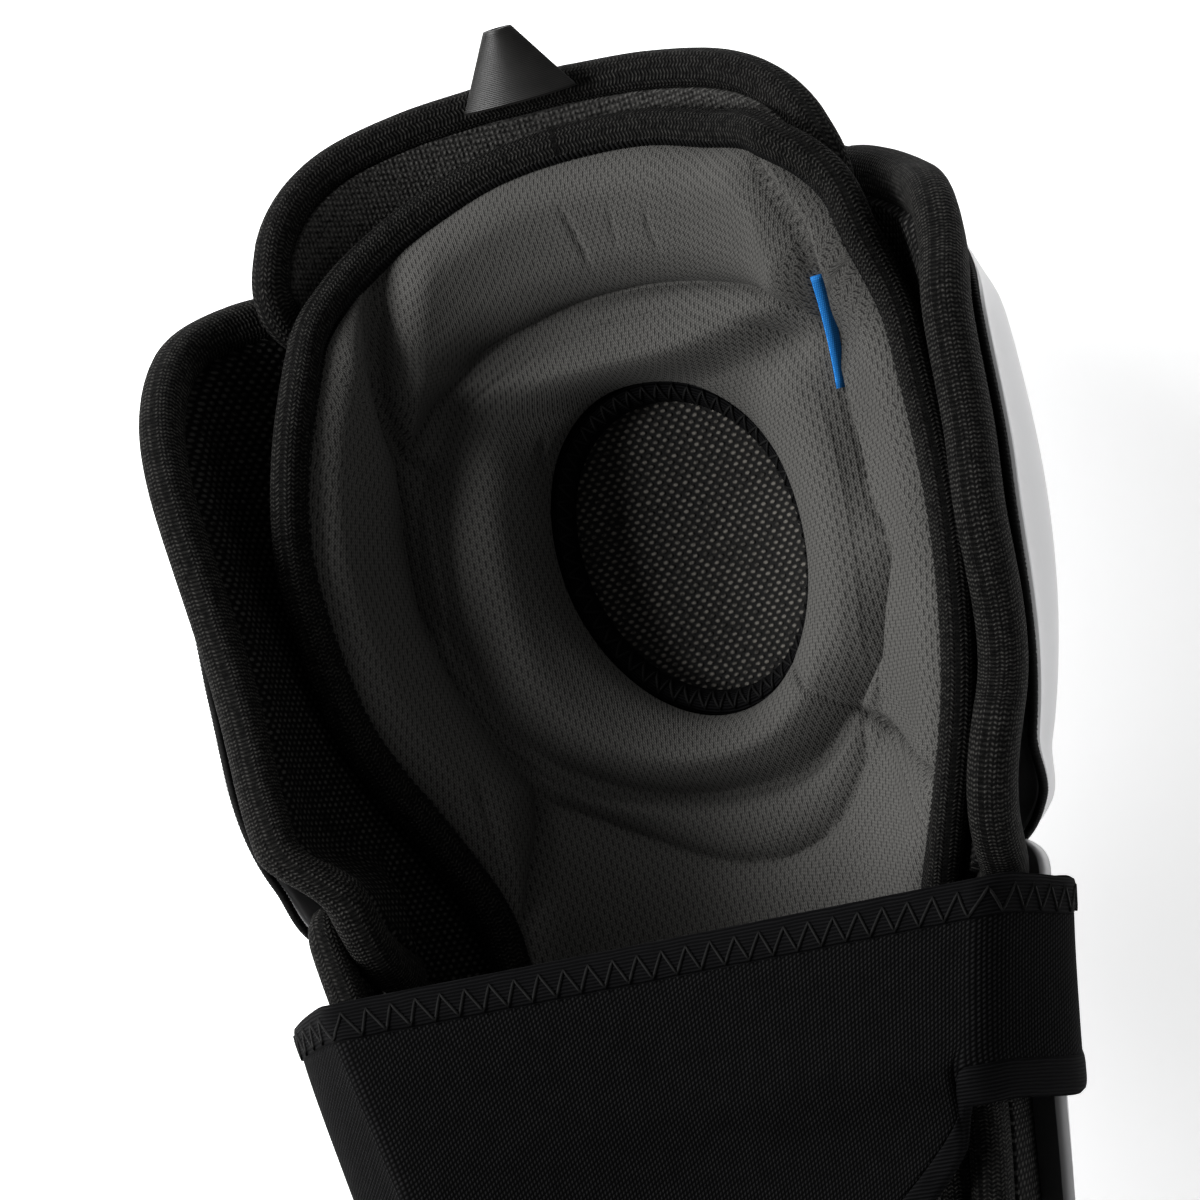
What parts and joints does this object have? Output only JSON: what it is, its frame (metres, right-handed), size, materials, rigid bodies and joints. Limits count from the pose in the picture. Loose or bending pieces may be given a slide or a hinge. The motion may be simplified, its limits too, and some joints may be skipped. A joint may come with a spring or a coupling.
{
  "type": "hockey shin pad",
  "caption": "Right-leg hockey shin pad: white plastic knee and shin shells over black foam cradles, a grey padded mesh liner with an open knee ring, a thigh flap and a wide stretch calf strap.",
  "frame": {"origin": "middle of the footprint of the pad lying on the front of its shells, on the surface it lies on", "axes": "+Y from the ankle towards the thigh, +Z from the shin towards the calf, out of the hollow for the leg, +X to the right seen from the calf with the thigh end up"},
  "size_m": [0.212, 0.4834, 0.1312],
  "materials": {
    "shell_plastic": "moulded white plastic",
    "black_mesh": "black spacer mesh over foam",
    "knit_binding": "black knit binding",
    "grey_mesh": "grey perforated mesh over foam",
    "black_elastic": "black ribbed elastic with zigzag stitching",
    "stretch_cloth": "black stretch knit",
    "satin_ribbon": "black satin ribbon",
    "blue_ribbon": "blue woven ribbon",
    "loop_pile": "white loop pile"
  },
  "bodies": {
    "root": {"knee_shell": "shell_plastic", "shin_shell": "shell_plastic", "knee_cradle": "black_mesh", "shin_cradle": "black_mesh", "wing_binding_right": "knit_binding", "wing_binding_left": "knit_binding", "calf_binding_right": "knit_binding", "calf_binding_left": "knit_binding", "thigh_guard": "black_mesh", "thigh_binding": "knit_binding", "liner": "grey_mesh", "liner_binding": "knit_binding", "knee_hole_binding": "black_elastic", "calf_strap": "stretch_cloth", "strap_binding_top": "black_elastic", "strap_binding_bottom": "black_elastic", "fastening_patch": "loop_pile", "side_tag": "blue_ribbon", "pull_tab": "satin_ribbon"}
  },
  "joints": []
}
